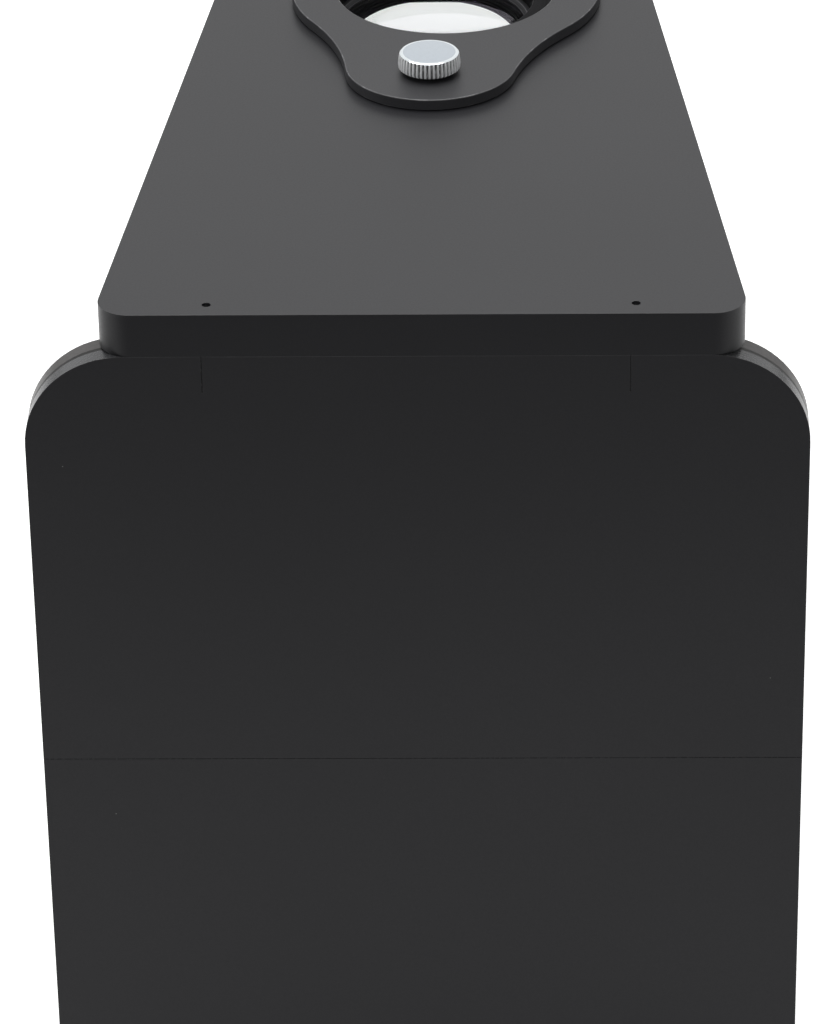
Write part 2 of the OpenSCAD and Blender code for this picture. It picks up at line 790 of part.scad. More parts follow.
module bracket() {
    color([0.62, 0.62, 0.63]) difference() {
        union() {
            translate([cheek_in_x - bracket_leg, bracket_y, under_z - bracket_t])
                cube([bracket_leg, bracket_l, bracket_t]);
            translate([cheek_in_x - bracket_t, bracket_y, under_z - bracket_leg])
                cube([bracket_t, bracket_l, bracket_leg]);
        }
        at_bracket_top_screws() pan_screw_hole();
        at_bracket_side_screws() pan_screw_hole();
    }
}

module near_cheek_brackets() {
    on_board() both_sides() bracket();
}

module cheek_brackets() {
    near_cheek_brackets();
    at_far_end() near_cheek_brackets();
}

module near_cheek_bracket_screws() {
    on_board() both_sides() {
        at_bracket_top_screws() pan_screw();
        at_bracket_side_screws() pan_screw();
    }
}

module cheek_bracket_screws() {
    near_cheek_bracket_screws();
    at_far_end() near_cheek_bracket_screws();
}

top_board();
near_panel_outer_sheet();
far_panel_outer_sheet();
near_panel_inner_sheet();
far_panel_inner_sheet();
near_dowel_pins();
at_far_end() near_dowel_pins();  // far_dowel_pins
near_leg_outer_sheet();
far_leg_outer_sheet();
near_leg_inner_sheet();
far_leg_inner_sheet();
near_foot_strip();
far_foot_strip();
upper_hinge_leaves(hinge_spacing);  // near_upper_hinge_leaves
at_far_end() upper_hinge_leaves(far_hinge_spacing);  // far_upper_hinge_leaves
lower_hinge_leaves(hinge_spacing);  // near_lower_hinge_leaves
at_far_end() lower_hinge_leaves(far_hinge_spacing);  // far_lower_hinge_leaves
hinge_pins(hinge_spacing);  // near_hinge_pins
at_far_end() hinge_pins(far_hinge_spacing);  // far_hinge_pins
near_screw_washer();
at_far_end() near_screw_washer();  // far_screw_washer
near_thumb_screw();
at_far_end() near_thumb_screw();  // far_thumb_screw
near_threaded_insert();
at_far_end() near_threaded_insert();  // far_threaded_insert
near_lens_cell();
at_far_end() near_lens_cell();  // far_lens_cell
near_lens();
at_far_end() near_lens();  // far_lens
near_retaining_ring();
at_far_end() near_retaining_ring();  // far_retaining_ring
near_prism();
at_far_end() near_prism();  // far_prism
near_left_prism_plate();
at_far_end() near_left_prism_plate();  // far_left_prism_plate
near_right_prism_plate();
at_far_end() near_right_prism_plate();  // far_right_prism_plate
near_large_mirror();
at_far_end() near_large_mirror();  // far_large_mirror
near_mirror_backing();
at_far_end() near_mirror_backing();  // far_mirror_backing
near_left_cheek();
at_far_end() near_left_cheek();  // far_left_cheek
near_right_cheek();
at_far_end() near_right_cheek();  // far_right_cheek
leaf_screws(-1, hinge_spacing);  // near_leg_hinge_screws
at_far_end() leaf_screws(-1, far_hinge_spacing);  // far_leg_hinge_screws
lens_plate(near_plate_turn);  // near_lens_plate
at_far_end() lens_plate(0);  // far_lens_plate
upper_hinge_screws();
prism_plate_screws();
cheek_brackets();
cheek_bracket_screws();
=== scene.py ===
import math

import bmesh
import bpy
from mathutils import Matrix, Vector


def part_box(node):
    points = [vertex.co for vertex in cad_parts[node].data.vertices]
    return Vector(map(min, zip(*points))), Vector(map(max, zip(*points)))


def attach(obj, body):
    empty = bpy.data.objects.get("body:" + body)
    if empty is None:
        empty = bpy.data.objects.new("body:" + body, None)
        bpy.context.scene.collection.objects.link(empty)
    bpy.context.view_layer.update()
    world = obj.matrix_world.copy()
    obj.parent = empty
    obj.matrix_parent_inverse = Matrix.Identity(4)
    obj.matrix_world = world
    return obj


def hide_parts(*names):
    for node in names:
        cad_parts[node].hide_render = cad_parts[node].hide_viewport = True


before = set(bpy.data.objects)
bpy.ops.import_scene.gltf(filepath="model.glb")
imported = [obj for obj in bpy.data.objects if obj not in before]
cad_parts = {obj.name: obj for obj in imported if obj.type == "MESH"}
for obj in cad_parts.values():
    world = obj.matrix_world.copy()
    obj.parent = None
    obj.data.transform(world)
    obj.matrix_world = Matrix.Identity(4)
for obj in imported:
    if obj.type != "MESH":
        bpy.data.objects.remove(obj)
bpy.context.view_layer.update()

MM = 0.001
ENDS = ("near", "far")

# Each lens axis stands at LENS_AXIS_X, and at LENS_AXIS_Y to one side of the middle
LENS_AXIS_X, LENS_AXIS_Y = 0.001, 0.0325
LENS_TOP_Z = 0.1942


# Camera, from the photograph's perspective

CAMERA_AT = (0.02125, -0.95909, 0.61615)
CAMERA_LENS, CAMERA_SENSOR = 182.28, 36
CAMERA_PITCH, CAMERA_YAW, CAMERA_ROLL = -29.8468, 1.5291, -0.9569
CAMERA_NEAREST, CAMERA_FURTHEST = 0.05, 30

camera_data = bpy.data.cameras.new("camera")
camera_data.lens = CAMERA_LENS
camera_data.sensor_width = CAMERA_SENSOR
camera_data.clip_start = CAMERA_NEAREST
camera_data.clip_end = CAMERA_FURTHEST
camera = bpy.data.objects.new("camera", camera_data)
bpy.context.scene.collection.objects.link(camera)
camera.matrix_world = (
    Matrix.Translation(CAMERA_AT)
    @ Matrix.Rotation(math.radians(CAMERA_YAW), 4, "Z")
    @ Matrix.Rotation(math.radians(90 + CAMERA_PITCH), 4, "X")
    @ Matrix.Rotation(math.radians(CAMERA_ROLL), 4, "Z")
)
bpy.context.scene.camera = camera
bpy.context.scene.view_settings.view_transform = "Standard"


# Node helpers

def add(tree, kind, **settings):
    made = tree.nodes.new("ShaderNode" + kind)
    for key, value in settings.items():
        setattr(made, key, value)
    return made


def put(made, **values):
    """Sets inputs by name, with an underscore for each space."""
    for key, value in values.items():
        made.inputs[key.replace("_", " ")].default_value = value
    return made


def feed(tree, made, **sources):
    """Links outputs to inputs by name, with an underscore for each space."""
    for key, source in sources.items():
        tree.links.new(source, made.inputs[key.replace("_", " ")])
    return made


def maths(tree, operation, first, second=None, clamp=False):
    made = add(tree, "Math", operation=operation, use_clamp=clamp)
    for socket, value in zip(made.inputs, (first, second)):
        if isinstance(value, (int, float)):
            socket.default_value = value
        elif value is not None:
            tree.links.new(value, socket)
    return made.outputs[0]


def times(tree, first, second):
    return maths(tree, "MULTIPLY", first, second)


def spread(tree, value, source=(0, 1), target=(0, 1)):
    """Stretches the range source over the range target."""
    made = feed(tree, add(tree, "MapRange"), Value=value)
    put(made, From_Min=source[0], From_Max=source[1], To_Min=target[0], To_Max=target[1])
    return made.outputs["Result"]


def mix(tree, factor, first, second):
    """Mixes two colours, each given as three numbers or as an output."""
    made = add(tree, "Mix", data_type="RGBA")
    feed(tree, made, Factor=factor)
    colours = [socket for socket in made.inputs if socket.type == "RGBA"]
    for socket, value in zip(colours, (first, second)):
        if isinstance(value, tuple):
            socket.default_value = (*value, 1)
        else:
            tree.links.new(value, socket)
    return [socket for socket in made.outputs if socket.type == "RGBA"][0]


def noise(tree, vector, scale, detail, roughness=0.5):
    made = put(add(tree, "TexNoise"), Detail=detail, Roughness=roughness)
    feed(tree, made, Vector=vector)
    if isinstance(scale, (int, float)):
        put(made, Scale=scale)
    else:
        feed(tree, made, Scale=scale)
    return made.outputs["Fac"]


def group(name, inputs, outputs):
    """A node group with its inputs and its output node. An input without a value is a vector."""
    tree = bpy.data.node_groups.new(name, "ShaderNodeTree")
    for label, value in inputs.items():
        kind = "NodeSocketVector" if value is None else "NodeSocketFloat"
        socket = tree.interface.new_socket(name=label, in_out="INPUT", socket_type=kind)
        if value is not None:
            socket.default_value = value
    for label in outputs:
        tree.interface.new_socket(name=label, in_out="OUTPUT", socket_type="NodeSocketFloat")
    given = tree.nodes.new("NodeGroupInput").outputs
    return tree, given, tree.nodes.new("NodeGroupOutput")


# Shared effects

SWELL_SCALE, SWELL_SHARE = 0.21, 0.3
LEAST_SPECK = 0.4
WEAR_START, WEAR_REACH, WEAR_SHARPNESS = 0.8, 0.5, 8.0


def make_grain():
    """Fine moulded grain, with a coarser swell under it."""
    inputs = {"Vector": None, "Scale": 1500.0}
    tree, given, out = group("fine grain", inputs, ("Grain", "Height"))
    fine = noise(tree, given["Vector"], given["Scale"], detail=2.0, roughness=0.6)
    swell_scale = times(tree, given["Scale"], SWELL_SCALE)
    swell = noise(tree, given["Vector"], swell_scale, detail=2.0)
    height = maths(tree, "ADD", times(tree, fine, 1 - SWELL_SHARE), times(tree, swell, SWELL_SHARE))
    feed(tree, out, Grain=spread(tree, fine, (0.25, 0.75)), Height=height)
    return tree


def make_clouds():
    """Broad, soft changes of tone."""
    tree, given, out = group("soft clouds", {"Vector": None, "Scale": 14.0}, ("Cloud",))
    cloud = noise(tree, given["Vector"], given["Scale"], detail=2.0, roughness=0.45)
    feed(tree, out, Cloud=spread(tree, cloud, (0.3, 0.7)))
    return tree


def make_specks():
    """A few tiny specks of dust. Few gives the share of cells that hold one."""
    inputs = {"Vector": None, "Scale": 160.0, "Few": 0.03, "Size": 0.018}
    tree, given, out = group("dust specks", inputs, ("Speck",))
    cells = add(tree, "TexVoronoi", feature="F1")
    feed(tree, cells, Vector=given["Vector"], Scale=given["Scale"])
    drawn = feed(tree, add(tree, "SeparateColor"), Color=cells.outputs["Color"]).outputs
    chosen = maths(tree, "LESS_THAN", drawn["Red"], given["Few"])
    size = times(tree, given["Size"], maths(tree, "ADD", drawn["Green"], LEAST_SPECK))
    near = maths(tree, "LESS_THAN", cells.outputs["Distance"], size)
    feed(tree, out, Speck=times(tree, chosen, near))
    return tree


def make_wear():
    """Scuffs along the eased edges, which carry the attribute rim."""
    inputs = {"Vector": None, "Scale": 260.0, "Wear": 0.4}
    tree, given, out = group("worn rim", inputs, ("Wear", "Rim"))
    rim = add(tree, "Attribute", attribute_name="rim").outputs["Fac"]
    patch = noise(tree, given["Vector"], given["Scale"], detail=3.0, roughness=0.65)
    unworn = maths(tree, "SUBTRACT", WEAR_START, times(tree, given["Wear"], WEAR_REACH))
    above = maths(tree, "SUBTRACT", patch, unworn)
    worn = maths(tree, "MULTIPLY", above, WEAR_SHARPNESS, clamp=True)
    feed(tree, out, Wear=times(tree, worn, rim), Rim=rim)
    return tree


def make_brushing():
    """Fine lines, as a grinder or a lathe tool leaves."""
    tree, given, out = group("brush lines", {"Vector": None, "Scale": 900.0}, ("Lines",))
    lines = noise(tree, given["Vector"], given["Scale"], detail=2.0, roughness=0.7)
    feed(tree, out, Lines=spread(tree, lines, (0.3, 0.7)))
    return tree


GRAIN, CLOUDS, SPECKS = make_grain(), make_clouds(), make_specks()
WEAR, BRUSHING = make_wear(), make_brushing()


def effect(tree, kind, vector, **values):
    """Places a shared effect in a material."""
    made = tree.nodes.new("ShaderNodeGroup")
    made.node_tree = kind
    return put(feed(tree, made, Vector=vector), **values).outputs


def start(name):
    """A new material, with its tree, its shader and the object's own coordinates."""
    material = bpy.data.materials.new(name)
    material.use_nodes = True
    tree = material.node_tree
    shader = tree.nodes["Principled BSDF"]
    place = add(tree, "TexCoord").outputs["Object"]
    return material, tree, shader, place


def bump(tree, shader, height, strength, distance):
    made = put(add(tree, "Bump"), Strength=strength, Distance=distance)
    feed(tree, made, Height=height)
    feed(tree, shader, Normal=made.outputs["Normal"])


def stretched(tree, place, scale):
    made = put(add(tree, "Mapping"), Scale=scale)
    return feed(tree, made, Vector=place).outputs["Vector"]


def varied(roughness, least=0.8, most=1.25):
    return roughness * least, roughness * most


# Finishes

# Near-black colour of the painted shade in the knurl's grooves
GROOVE_SHADE = (0.012, 0.012, 0.013)
DUST = (0.20, 0.20, 0.195)
DUST_ROUGH = 0.3
HOLLOW_TONE, HOLLOW_SHARE = 0.55, 0.5
# Share of the rim colour on every eased edge of satin black: a painted highlight
EDGE_HIGHLIGHT_SHARE = 0.33
# Share of the rim colour on the turned parts' eased edges above the lens: a painted highlight
RIM_HIGHLIGHT_SHARE = 0.6


def satin_black(name, dark, light, rim_colour, roughness, specular, grain_scale, relief, wear,
                dust):
    """Black sheet or enamel: fine grain, soft clouds, dust specks, scuffed edges, and a painted
    highlight on every eased edge.
    """
    material, tree, shader, place = start(name)
    grain = effect(tree, GRAIN, place, Scale=grain_scale)
    clouded = mix(tree, effect(tree, CLOUDS, place)["Cloud"], dark, light)
    hollow = tuple(HOLLOW_TONE * part for part in dark)
    tone = mix(tree, times(tree, grain["Grain"], HOLLOW_SHARE), clouded, hollow)
    rim = effect(tree, WEAR, place, Wear=wear)
    # Painted highlight: every eased edge goes a share towards the rim colour; the scuffs follow
    eased = mix(tree, times(tree, rim["Rim"], EDGE_HIGHLIGHT_SHARE), tone, rim_colour)
    edged = mix(tree, rim["Wear"], eased, rim_colour)
    speck = effect(tree, SPECKS, place, Few=dust)["Speck"]
    rough = spread(tree, grain["Grain"], target=(roughness - 0.04, roughness + 0.05))
    feed(tree, shader, Base_Color=mix(tree, speck, edged, DUST),
         Roughness=maths(tree, "ADD", rough, times(tree, speck, DUST_ROUGH)))
    put(shader, Specular_IOR_Level=specular)
    bump(tree, shader, grain["Height"], strength=0.35, distance=relief)
    return material


def plated(name, colour, shade, roughness, stretch, line_scale):
    """Bright or brushed metal with fine tool lines."""
    material, tree, shader, place = start(name)
    lines = effect(tree, BRUSHING, stretched(tree, place, stretch), Scale=line_scale)["Lines"]
    cloud = effect(tree, CLOUDS, place, Scale=90.0)["Cloud"]
    brushed = mix(tree, times(tree, lines, 0.5), colour, shade)
    feed(tree, shader, Base_Color=mix(tree, times(tree, cloud, 0.25), brushed, shade),
         Roughness=spread(tree, lines, target=varied(roughness)))
    put(shader, Metallic=1.0)
    bump(tree, shader, lines, strength=0.15, distance=0.01 * MM)
    return material


def rolled_knurl(name, colour, shade, roughness, metal, groove_shade):
    """Plated ridges with irregular flanks, and painted shade that darkens the grooves where the
    attribute groove is high.
    """
    material, tree, shader, place = start(name)
    upright = stretched(tree, place, (1, 1, 0.45))
    uneven = noise(tree, upright, 3600.0, detail=2.0, roughness=0.6)
    patch = spread(tree, uneven, (0.42, 0.62))
    groove = add(tree, "Attribute", attribute_name="groove").outputs["Fac"]
    deep = maths(tree, "POWER", groove, 1.5)
    # Painted shade: the deeper the groove, the further its colour goes towards near-black
    held = times(tree, deep, spread(tree, patch, target=(groove_shade, 0.6 * groove_shade)))
    ridge_tone = mix(tree, times(tree, patch, 0.35), colour, shade)
    feed(tree, shader, Base_Color=mix(tree, held, ridge_tone, GROOVE_SHADE),
         Roughness=spread(tree, uneven, (0.3, 0.7), varied(roughness)))
    # Little metal under a near-white colour: painted sheen standing in for the chrome's reflection
    put(shader, Metallic=metal, Specular_IOR_Level=1.0)
    bump(tree, shader, uneven, strength=0.8, distance=0.12 * MM)
    return material


def turned_black(name, dark, light, rim_colour, roughness, specular):
    """Blackened turned metal: tool marks round the lens axis, and eased edges above the lens
    painted paler as a highlight.
    """
    material, tree, shader, place = start(name)
    at = feed(tree, add(tree, "SeparateXYZ"), Vector=place).outputs
    across = maths(tree, "SUBTRACT", at["X"], LENS_AXIS_X)
    along = maths(tree, "SUBTRACT", maths(tree, "ABSOLUTE", at["Y"]), LENS_AXIS_Y)
    squares = maths(tree, "ADD", times(tree, across, across), times(tree, along, along))
    section = feed(tree, add(tree, "CombineXYZ"), X=maths(tree, "SQRT", squares), Z=at["Z"])
    marks = effect(tree, BRUSHING, section.outputs["Vector"], Scale=1500.0)["Lines"]
    above = maths(tree, "GREATER_THAN", at["Z"], LENS_TOP_Z)
    # Painted highlight: eased edges above the lens go a share towards the rim colour
    painted_paler = times(tree, times(tree, effect(tree, WEAR, place)["Rim"], above), RIM_HIGHLIGHT_SHARE)
    feed(tree, shader,
         Base_Color=mix(tree, painted_paler, mix(tree, marks, dark, light), rim_colour),
         Roughness=spread(tree, marks, target=varied(roughness, 0.85, 1.15)))
    put(shader, Specular_IOR_Level=specular)
    bump(tree, shader, marks, strength=0.4, distance=0.03 * MM)
    return material


def glass(name, colour, tint, specular):
    """Clear optical glass, with a little dust."""
    material, tree, shader, place = start(name)
    speck = effect(tree, SPECKS, place, Scale=420.0, Few=0.012)["Speck"]
    feed(tree, shader, Base_Color=mix(tree, speck, colour, (0.7, 0.7, 0.7)),
         Roughness=spread(tree, speck, target=(0, 0.35)))
    put(shader, Transmission_Weight=1.0, IOR=1.52, Specular_IOR_Level=specular,
        Specular_Tint=(*tint, 1))
    return material


def silvered(name, colour, tarnish):
    """Mirror glass: bright, with faint tarnish in soft spots."""
    material, tree, shader, place = start(name)
    cloud = effect(tree, CLOUDS, place, Scale=60.0)["Cloud"]
    speck = effect(tree, SPECKS, place, Scale=240.0, Few=0.02)["Speck"]
    face = mix(tree, times(tree, cloud, 0.3), colour, tarnish)
    feed(tree, shader, Base_Color=mix(tree, speck, face, (0.35, 0.33, 0.3)),
         Roughness=spread(tree, speck, target=(0.02, 0.3)))
    put(shader, Metallic=1.0)
    return material


def ground_glass(name, dark, light):
    """Matt ground glass."""
    material, tree, shader, place = start(name)
    grain = effect(tree, GRAIN, place, Scale=2200.0)
    feed(tree, shader, Base_Color=mix(tree, grain["Grain"], dark, light),
         Roughness=spread(tree, grain["Grain"], target=(0.5, 0.7)))
    bump(tree, shader, grain["Height"], strength=0.3, distance=0.03 * MM)
    return material


def stained_board(name, dark, light, shade):
    """Stained board with fibres along its length."""
    material, tree, shader, place = start(name)
    along = stretched(tree, place, (0.06, 1, 1))
    fibres = effect(tree, BRUSHING, along, Scale=700.0)["Lines"]
    cloud = effect(tree, CLOUDS, place, Scale=30.0)["Cloud"]
    wood = mix(tree, fibres, dark, light)
    feed(tree, shader, Base_Color=mix(tree, times(tree, cloud, 0.4), wood, shade),
         Roughness=spread(tree, fibres, target=(0.55, 0.75)))
    bump(tree, shader, fibres, strength=0.3, distance=0.06 * MM)
    return material


def moulded_rubber(name, dark, light, worn):
    """Matt rubber with a fine pebble."""
    material, tree, shader, place = start(name)
    grain = effect(tree, GRAIN, place, Scale=900.0)
    cloud = effect(tree, CLOUDS, place, Scale=40.0)["Cloud"]
    tone = mix(tree, cloud, dark, light)
    feed(tree, shader, Base_Color=mix(tree, times(tree, grain["Grain"], 0.4), tone, worn),
         Roughness=spread(tree, grain["Grain"], target=(0.75, 0.9)))
    put(shader, Specular_IOR_Level=0.3)
    bump(tree, shader, grain["Height"], strength=0.6, distance=0.1 * MM)
    return material


# The sheets and the board are one satin black: the sheets' darker copy is painted shade for the
# panels' upright faces, and the board's paler copy painted light for its top
SHEET = satin_black(
    "satin black sheet", dark=(0.0110, 0.0110, 0.0130), light=(0.0145, 0.0145, 0.0168),
    rim_colour=(0.13, 0.13, 0.13), roughness=0.44, specular=0.3, grain_scale=2600.0,
    relief=0.02 * MM, wear=0.35, dust=0.05)
BOARD = satin_black(
    "satin black board", dark=(0.014, 0.014, 0.0162), light=(0.0175, 0.0175, 0.0202),
    rim_colour=(0.13, 0.13, 0.13), roughness=0.34, specular=0.3, grain_scale=2600.0,
    relief=0.02 * MM, wear=0.35, dust=0.05)
GLUE = satin_black(
    "glue line", dark=(0.003, 0.003, 0.003), light=(0.03, 0.029, 0.028),
    rim_colour=(0.02, 0.02, 0.02), roughness=0.40, specular=0.15, grain_scale=900.0,
    relief=0.05 * MM, wear=0.2, dust=0.0)
OUTER_EDGE = satin_black(
    "outer sheet's cut edge", dark=(0.050, 0.051, 0.054), light=(0.062, 0.063, 0.066),
    rim_colour=(0.20, 0.20, 0.20), roughness=0.26, specular=0.35, grain_scale=1700.0,
    relief=0.03 * MM, wear=0.6, dust=0.05)
INNER_EDGE = satin_black(
    "inner sheet's cut edge", dark=(0.040, 0.037, 0.036), light=(0.060, 0.056, 0.055),
    rim_colour=(0.16, 0.15, 0.15), roughness=0.33, specular=0.30, grain_scale=1500.0,
    relief=0.04 * MM, wear=0.6, dust=0.08)
PLATE = satin_black(
    "satin black enamel", dark=(0.0205, 0.0205, 0.023), light=(0.0245, 0.0245, 0.0272),
    rim_colour=(0.17, 0.17, 0.175), roughness=0.42, specular=0.3, grain_scale=3200.0,
    relief=0.015 * MM, wear=0.5, dust=0.05)
# Paler copy of the plate's enamel for its side faces: painted light
PLATE_SIDE_PAINTED_PALER = satin_black(
    "rubbed enamel edge", dark=(0.030, 0.030, 0.033), light=(0.038, 0.038, 0.042),
    rim_colour=(0.17, 0.17, 0.175), roughness=0.42, specular=0.3, grain_scale=2400.0,
    relief=0.02 * MM, wear=0.5, dust=0.05)
PRISM_SIDE = satin_black(
    "black painted plate", dark=(0.006, 0.006, 0.007), light=(0.010, 0.010, 0.012),
    rim_colour=(0.05, 0.05, 0.055), roughness=0.68, specular=0.10, grain_scale=3000.0,
    relief=0.01 * MM, wear=0.4, dust=0.03)
FIBRE = satin_black(
    "black fibre", dark=(0.012, 0.012, 0.012), light=(0.02, 0.02, 0.02),
    rim_colour=(0.03, 0.03, 0.03), roughness=0.8, specular=0.1, grain_scale=1800.0,
    relief=0.04 * MM, wear=0.2, dust=0.0)
TURNED = turned_black(
    "blackened turned metal", dark=(0.002, 0.002, 0.002), light=(0.014, 0.014, 0.015),
    rim_colour=(0.07, 0.07, 0.072), roughness=0.6, specular=0.03)
RING = turned_black(
    "blackened ring", dark=(0.008, 0.008, 0.009), light=(0.03, 0.03, 0.032),
    rim_colour=(0.12, 0.12, 0.125), roughness=0.4, specular=0.12)
CHROME = plated(
    "bright chrome", colour=(0.565, 0.615, 0.665), shade=(0.53, 0.575, 0.625),
    roughness=0.06, stretch=(1, 1, 1), line_scale=1400.0)
# The ring round the knob's face is the face's chrome made brighter: a painted highlight
CHROME_RING_PAINTED_BRIGHT = plated(
    "chrome ring painted bright", colour=(0.80, 0.85, 0.87), shade=(0.72, 0.77, 0.79),
    roughness=0.12, stretch=(1, 1, 1), line_scale=1400.0)
STEEL = plated(
    "brushed steel", colour=(0.50, 0.50, 0.49), shade=(0.34, 0.34, 0.33),
    roughness=0.32, stretch=(0.05, 1, 1), line_scale=1500.0)
ZINC = plated(
    "zinc screw", colour=(0.55, 0.55, 0.53), shade=(0.40, 0.40, 0.38),
    roughness=0.26, stretch=(1, 1, 1), line_scale=1600.0)
ANGLE = plated(
    "drawn aluminium", colour=(0.60, 0.60, 0.61), shade=(0.45, 0.45, 0.46),
    roughness=0.34, stretch=(1, 0.05, 1), line_scale=1300.0)
BRASS = plated(
    "turned brass", colour=(0.66, 0.46, 0.20), shade=(0.50, 0.34, 0.14),
    roughness=0.25, stretch=(1, 1, 0.2), line_scale=1500.0)
# The knurl is chrome plated; its ridges get a near-white colour with little metal, a painted sheen
# in place of the chrome's bright reflection
KNURL = rolled_knurl(
    "rolled knurl", colour=(0.97, 0.98, 0.99), shade=(0.74, 0.77, 0.79),
    roughness=0.42, metal=0.06, groove_shade=0.97)
LENS_GLASS = glass(
    "coated lens glass", colour=(0.97, 0.975, 0.985), tint=(0.78, 0.62, 1.0), specular=0.24)
PRISM_GLASS = glass(
    "prism glass", colour=(0.97, 0.985, 0.98), tint=(1.0, 1.0, 1.0), specular=0.5)
MIRROR_FACE = silvered(
    "silvered face", colour=(0.86, 0.88, 0.89), tarnish=(0.80, 0.82, 0.82))
GROUND_EDGE = ground_glass(
    "ground glass edge", dark=(0.16, 0.26, 0.22), light=(0.26, 0.36, 0.32))
GROUND_RIM = ground_glass(
    "blackened lens rim", dark=(0.02, 0.02, 0.022), light=(0.04, 0.04, 0.045))
BACKING = stained_board(
    "stained backing board", dark=(0.045, 0.032, 0.022), light=(0.10, 0.072, 0.05),
    shade=(0.04, 0.03, 0.024))
RUBBER = moulded_rubber(
    "moulded rubber", dark=(0.012, 0.012, 0.012), light=(0.022, 0.021, 0.02),
    worn=(0.03, 0.029, 0.028))


# Making and finishing meshes

WELD = 0.002 * MM
HAIR = 0.001 * MM
FLAT_BELOW = math.radians(0.4)
SMOOTH_BELOW = math.radians(14)
EASED_ABOVE = math.radians(30)


def finished(bm, name, body, materials, replaced):
    """Makes a mesh object of bm, with sharp edges kept. It rides on its body and stands in for
    the nodes it replaces."""
    for edge in bm.edges:
        edge.smooth = len(edge.link_faces) == 2 and edge.calc_face_angle(0) < SMOOTH_BELOW
    for face in bm.faces:
        face.smooth = True
    mesh = bpy.data.meshes.new(name)
    bm.to_mesh(mesh)
    bm.free()
    for material in materials:
        mesh.materials.append(material)
    piece = bpy.data.objects.new(name, mesh)
    bpy.context.scene.collection.objects.link(piece)
    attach(piece, body)
    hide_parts(*replaced)


def box_corners(node):
    low, high = (Vector(corner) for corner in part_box(node))
    return low, high


def merged(node):
    """A welded copy of a node's mesh, with its flat faces whole."""
    bm = bmesh.new()
    bm.from_mesh(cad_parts[node].data)
    bmesh.ops.remove_doubles(bm, verts=bm.verts, dist=WELD)
    bmesh.ops.dissolve_limit(bm, angle_limit=FLAT_BELOW, verts=bm.verts, edges=bm.edges)
    return bm


def sliced(bm, at, across):
    bmesh.ops.bisect_plane(bm, geom=bm.verts[:] + bm.edges[:] + bm.faces[:], plane_co=at,
                           plane_no=across)


def extruded(bm, faces, keep=False):
    """Extrudes faces and gives the new corners and faces. The old faces go, unless they are
    kept to close an end."""
    grown = bmesh.ops.extrude_face_region(bm, geom=faces)["geom"]
    if not keep:
        bmesh.ops.delete(bm, geom=faces, context="FACES")
    return ([part for part in grown if isinstance(part, bmesh.types.BMVert)],
            [part for part in grown if isinstance(part, bmesh.types.BMFace)])


def ease_edges(bm, width, segments=2, crisp=()):
    """Rounds the sharp edges and marks the new faces with the attribute rim. Edges between two
    heights given as crisp stay as they are."""
    rim = bm.faces.layers.float.new("rim")
    sharp = [edge for edge in bm.edges
             if len(edge.link_faces) == 2 and edge.calc_face_angle(0) > EASED_ABOVE
             and not (crisp and all(crisp[0] < corner.co.z < crisp[1] for corner in edge.verts))]
    made = bmesh.ops.bevel(bm, geom=sharp, offset=width, offset_type="OFFSET",
                           segments=segments, profile=0.5, affect="EDGES", material=-1,
                           clamp_overlap=True)
    for face in made["faces"]:
        face[rim] = 1.0
    bmesh.ops.dissolve_degenerate(bm, edges=bm.edges, dist=HAIR)


def turned(profile, steps):
    """A lathe shape round the upright axis, from points given as radius and height."""
    bm = bmesh.new()
    line = [bm.verts.new((radius, 0, height)) for radius, height in profile]
    edges = [bm.edges.new(pair) for pair in zip(line, line[1:])]
    bmesh.ops.spin(bm, geom=line + edges, axis=(0, 0, 1), cent=(0, 0, 0), angle=math.tau,
                   steps=steps, use_merge=True)
    bmesh.ops.remove_doubles(bm, verts=bm.verts, dist=0.1 * HAIR)
    bmesh.ops.recalc_face_normals(bm, faces=bm.faces)
    return bm


def joined(bm, other, placing=None):
    """Adds a copy of another mesh under construction, and frees it unless it is placed again."""
    held = bpy.data.meshes.new("held")
    other.to_mesh(held)
    if placing is not None:
        held.transform(placing)
    else:
        other.free()
    bm.from_mesh(held)
    bpy.data.meshes.remove(held)


# Sheets, plates and small parts with eased edges

SHEET_EASE = 0.2 * MM
PLATE_EASE = 0.18 * MM
SEAM_HEIGHTS = (0.1085, 0.1097)
GLUE_W = 0.5 * MM


def eased_copy(node, body, material, width, segments=2):
    bm = merged(node)
    ease_edges(bm, width, segments)
    finished(bm, node + "_eased", body, [material], [node])


def laminated_sheet(node, body, edge_material, joint_side):
    """A panel or leg sheet. Its cut edges have a finish of their own, darker along the glue
    line, and the seam stays crisp."""
    low, high = box_corners(node)
    joint = min((low.y, high.y), key=lambda y: joint_side * abs(y))
    strip = joint + math.copysign(GLUE_W, (low.y + high.y) / 2 - joint)
    bm = merged(node)
    ease_edges(bm, SHEET_EASE, crisp=SEAM_HEIGHTS)
    sliced(bm, (0, strip, 0), (0, 1, 0))
    for face in bm.faces:
        if abs(face.normal.y) > 0.9:
            face.material_index = 0
        else:
            glued = abs(face.calc_center_median().y - joint) < GLUE_W
            face.material_index = 2 if glued else 1
    finished(bm, node + "_eased", body, [SHEET, edge_material, GLUE], [node])


def lens_plate(end):
    """Enamelled on both faces, with its side faces painted paler: painted light."""
    node = end + "_lens_plate"
    bm = merged(node)
    ease_edges(bm, PLATE_EASE)
    for face in bm.faces:
        face.material_index = 0 if abs(face.normal.z) > 0.9 else 1
    finished(bm, node + "_eased", node, [PLATE, PLATE_SIDE_PAINTED_PALER], [node])


def dress(node, material):
    """A node whose own shape is right gets its finish."""
    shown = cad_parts[node]
    shown.data.materials.clear()
    shown.data.materials.append(material)


# Lens, mirror and prism

LENS_FACE_R = 250 * MM
LENS_BEVEL = 0.15 * MM
LENS_RINGS, LENS_STEPS = 14, 128
MIRROR_EASE = 0.3 * MM
# Square metres: a mirror's face is larger than this, and a prism's ground flats are smaller
MIRROR_FACE_AREA, PRISM_FLAT_AREA = 0.0005, 0.0002


